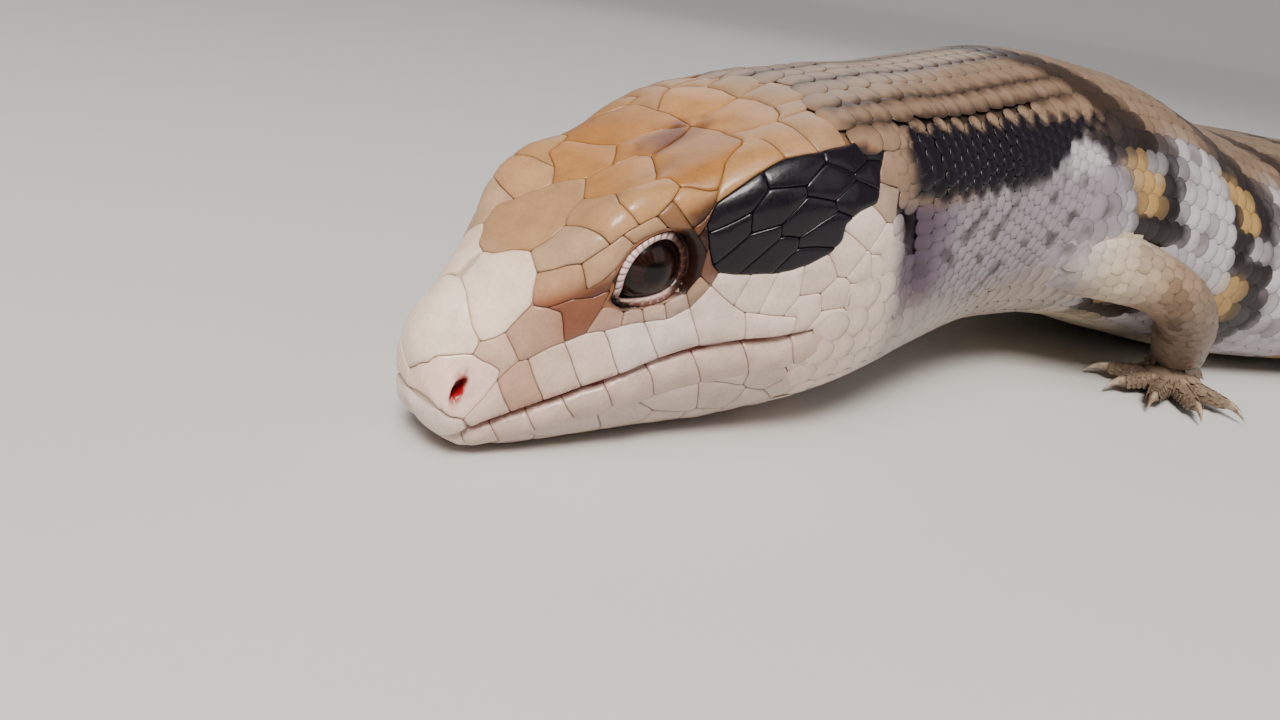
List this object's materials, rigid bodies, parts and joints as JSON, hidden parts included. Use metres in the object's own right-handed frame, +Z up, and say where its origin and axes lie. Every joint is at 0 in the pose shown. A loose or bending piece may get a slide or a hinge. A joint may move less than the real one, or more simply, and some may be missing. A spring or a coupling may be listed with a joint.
{
  "type": "blue tongued skink",
  "caption": "Still life-size model of an adult blue tongued skink resting flat on its belly, chin down, with curved tail and short splayed legs.",
  "frame": {"origin": "middle of the model's bounding box in plan, on the floor that the belly, chin, feet and tail rest on", "axes": "+X towards the nose along the animal's length, +Y to the animal's left, +Z up"},
  "size_m": [0.4658, 0.1184, 0.0469],
  "materials": {
    "head_skin": "smooth glossy head shields",
    "jaw_skin": "smooth glossy pale scales",
    "back_skin": "satin overlapping scales",
    "leg_skin": "satin overlapping scales",
    "foot_skin": "satin small scales",
    "claw_horn": "horn, semi-gloss",
    "eye_wet": "wet and glossy",
    "eardrum": "thin smooth skin"
  },
  "bodies": {
    "root": {"head": "head_skin", "lower_jaw": "jaw_skin", "eye_left": "eye_wet", "eye_right": "eye_wet", "ear_left": "eardrum", "ear_right": "eardrum", "neck": "back_skin", "torso_chest": "back_skin", "torso_belly": "back_skin", "torso_loin": "back_skin", "torso_hips": "back_skin", "tail_base": "back_skin", "tail_middle": "back_skin", "tail_tip": "back_skin", "upper_leg_front_left": "leg_skin", "upper_leg_front_right": "leg_skin", "upper_leg_rear_left": "leg_skin", "upper_leg_rear_right": "leg_skin", "lower_leg_front_left": "leg_skin", "lower_leg_front_right": "leg_skin", "lower_leg_rear_left": "leg_skin", "lower_leg_rear_right": "leg_skin", "foot_front_left": "foot_skin", "foot_front_right": "foot_skin", "foot_rear_left": "foot_skin", "foot_rear_right": "foot_skin", "claw_front_left_1": "claw_horn", "claw_front_left_2": "claw_horn", "claw_front_left_3": "claw_horn", "claw_front_left_4": "claw_horn", "claw_front_left_5": "claw_horn", "claw_front_right_1": "claw_horn", "claw_front_right_2": "claw_horn", "claw_front_right_3": "claw_horn", "claw_front_right_4": "claw_horn", "claw_front_right_5": "claw_horn", "claw_rear_left_1": "claw_horn", "claw_rear_left_2": "claw_horn", "claw_rear_left_3": "claw_horn", "claw_rear_left_4": "claw_horn", "claw_rear_left_5": "claw_horn", "claw_rear_right_1": "claw_horn", "claw_rear_right_2": "claw_horn", "claw_rear_right_3": "claw_horn", "claw_rear_right_4": "claw_horn", "claw_rear_right_5": "claw_horn"}
  },
  "joints": []
}
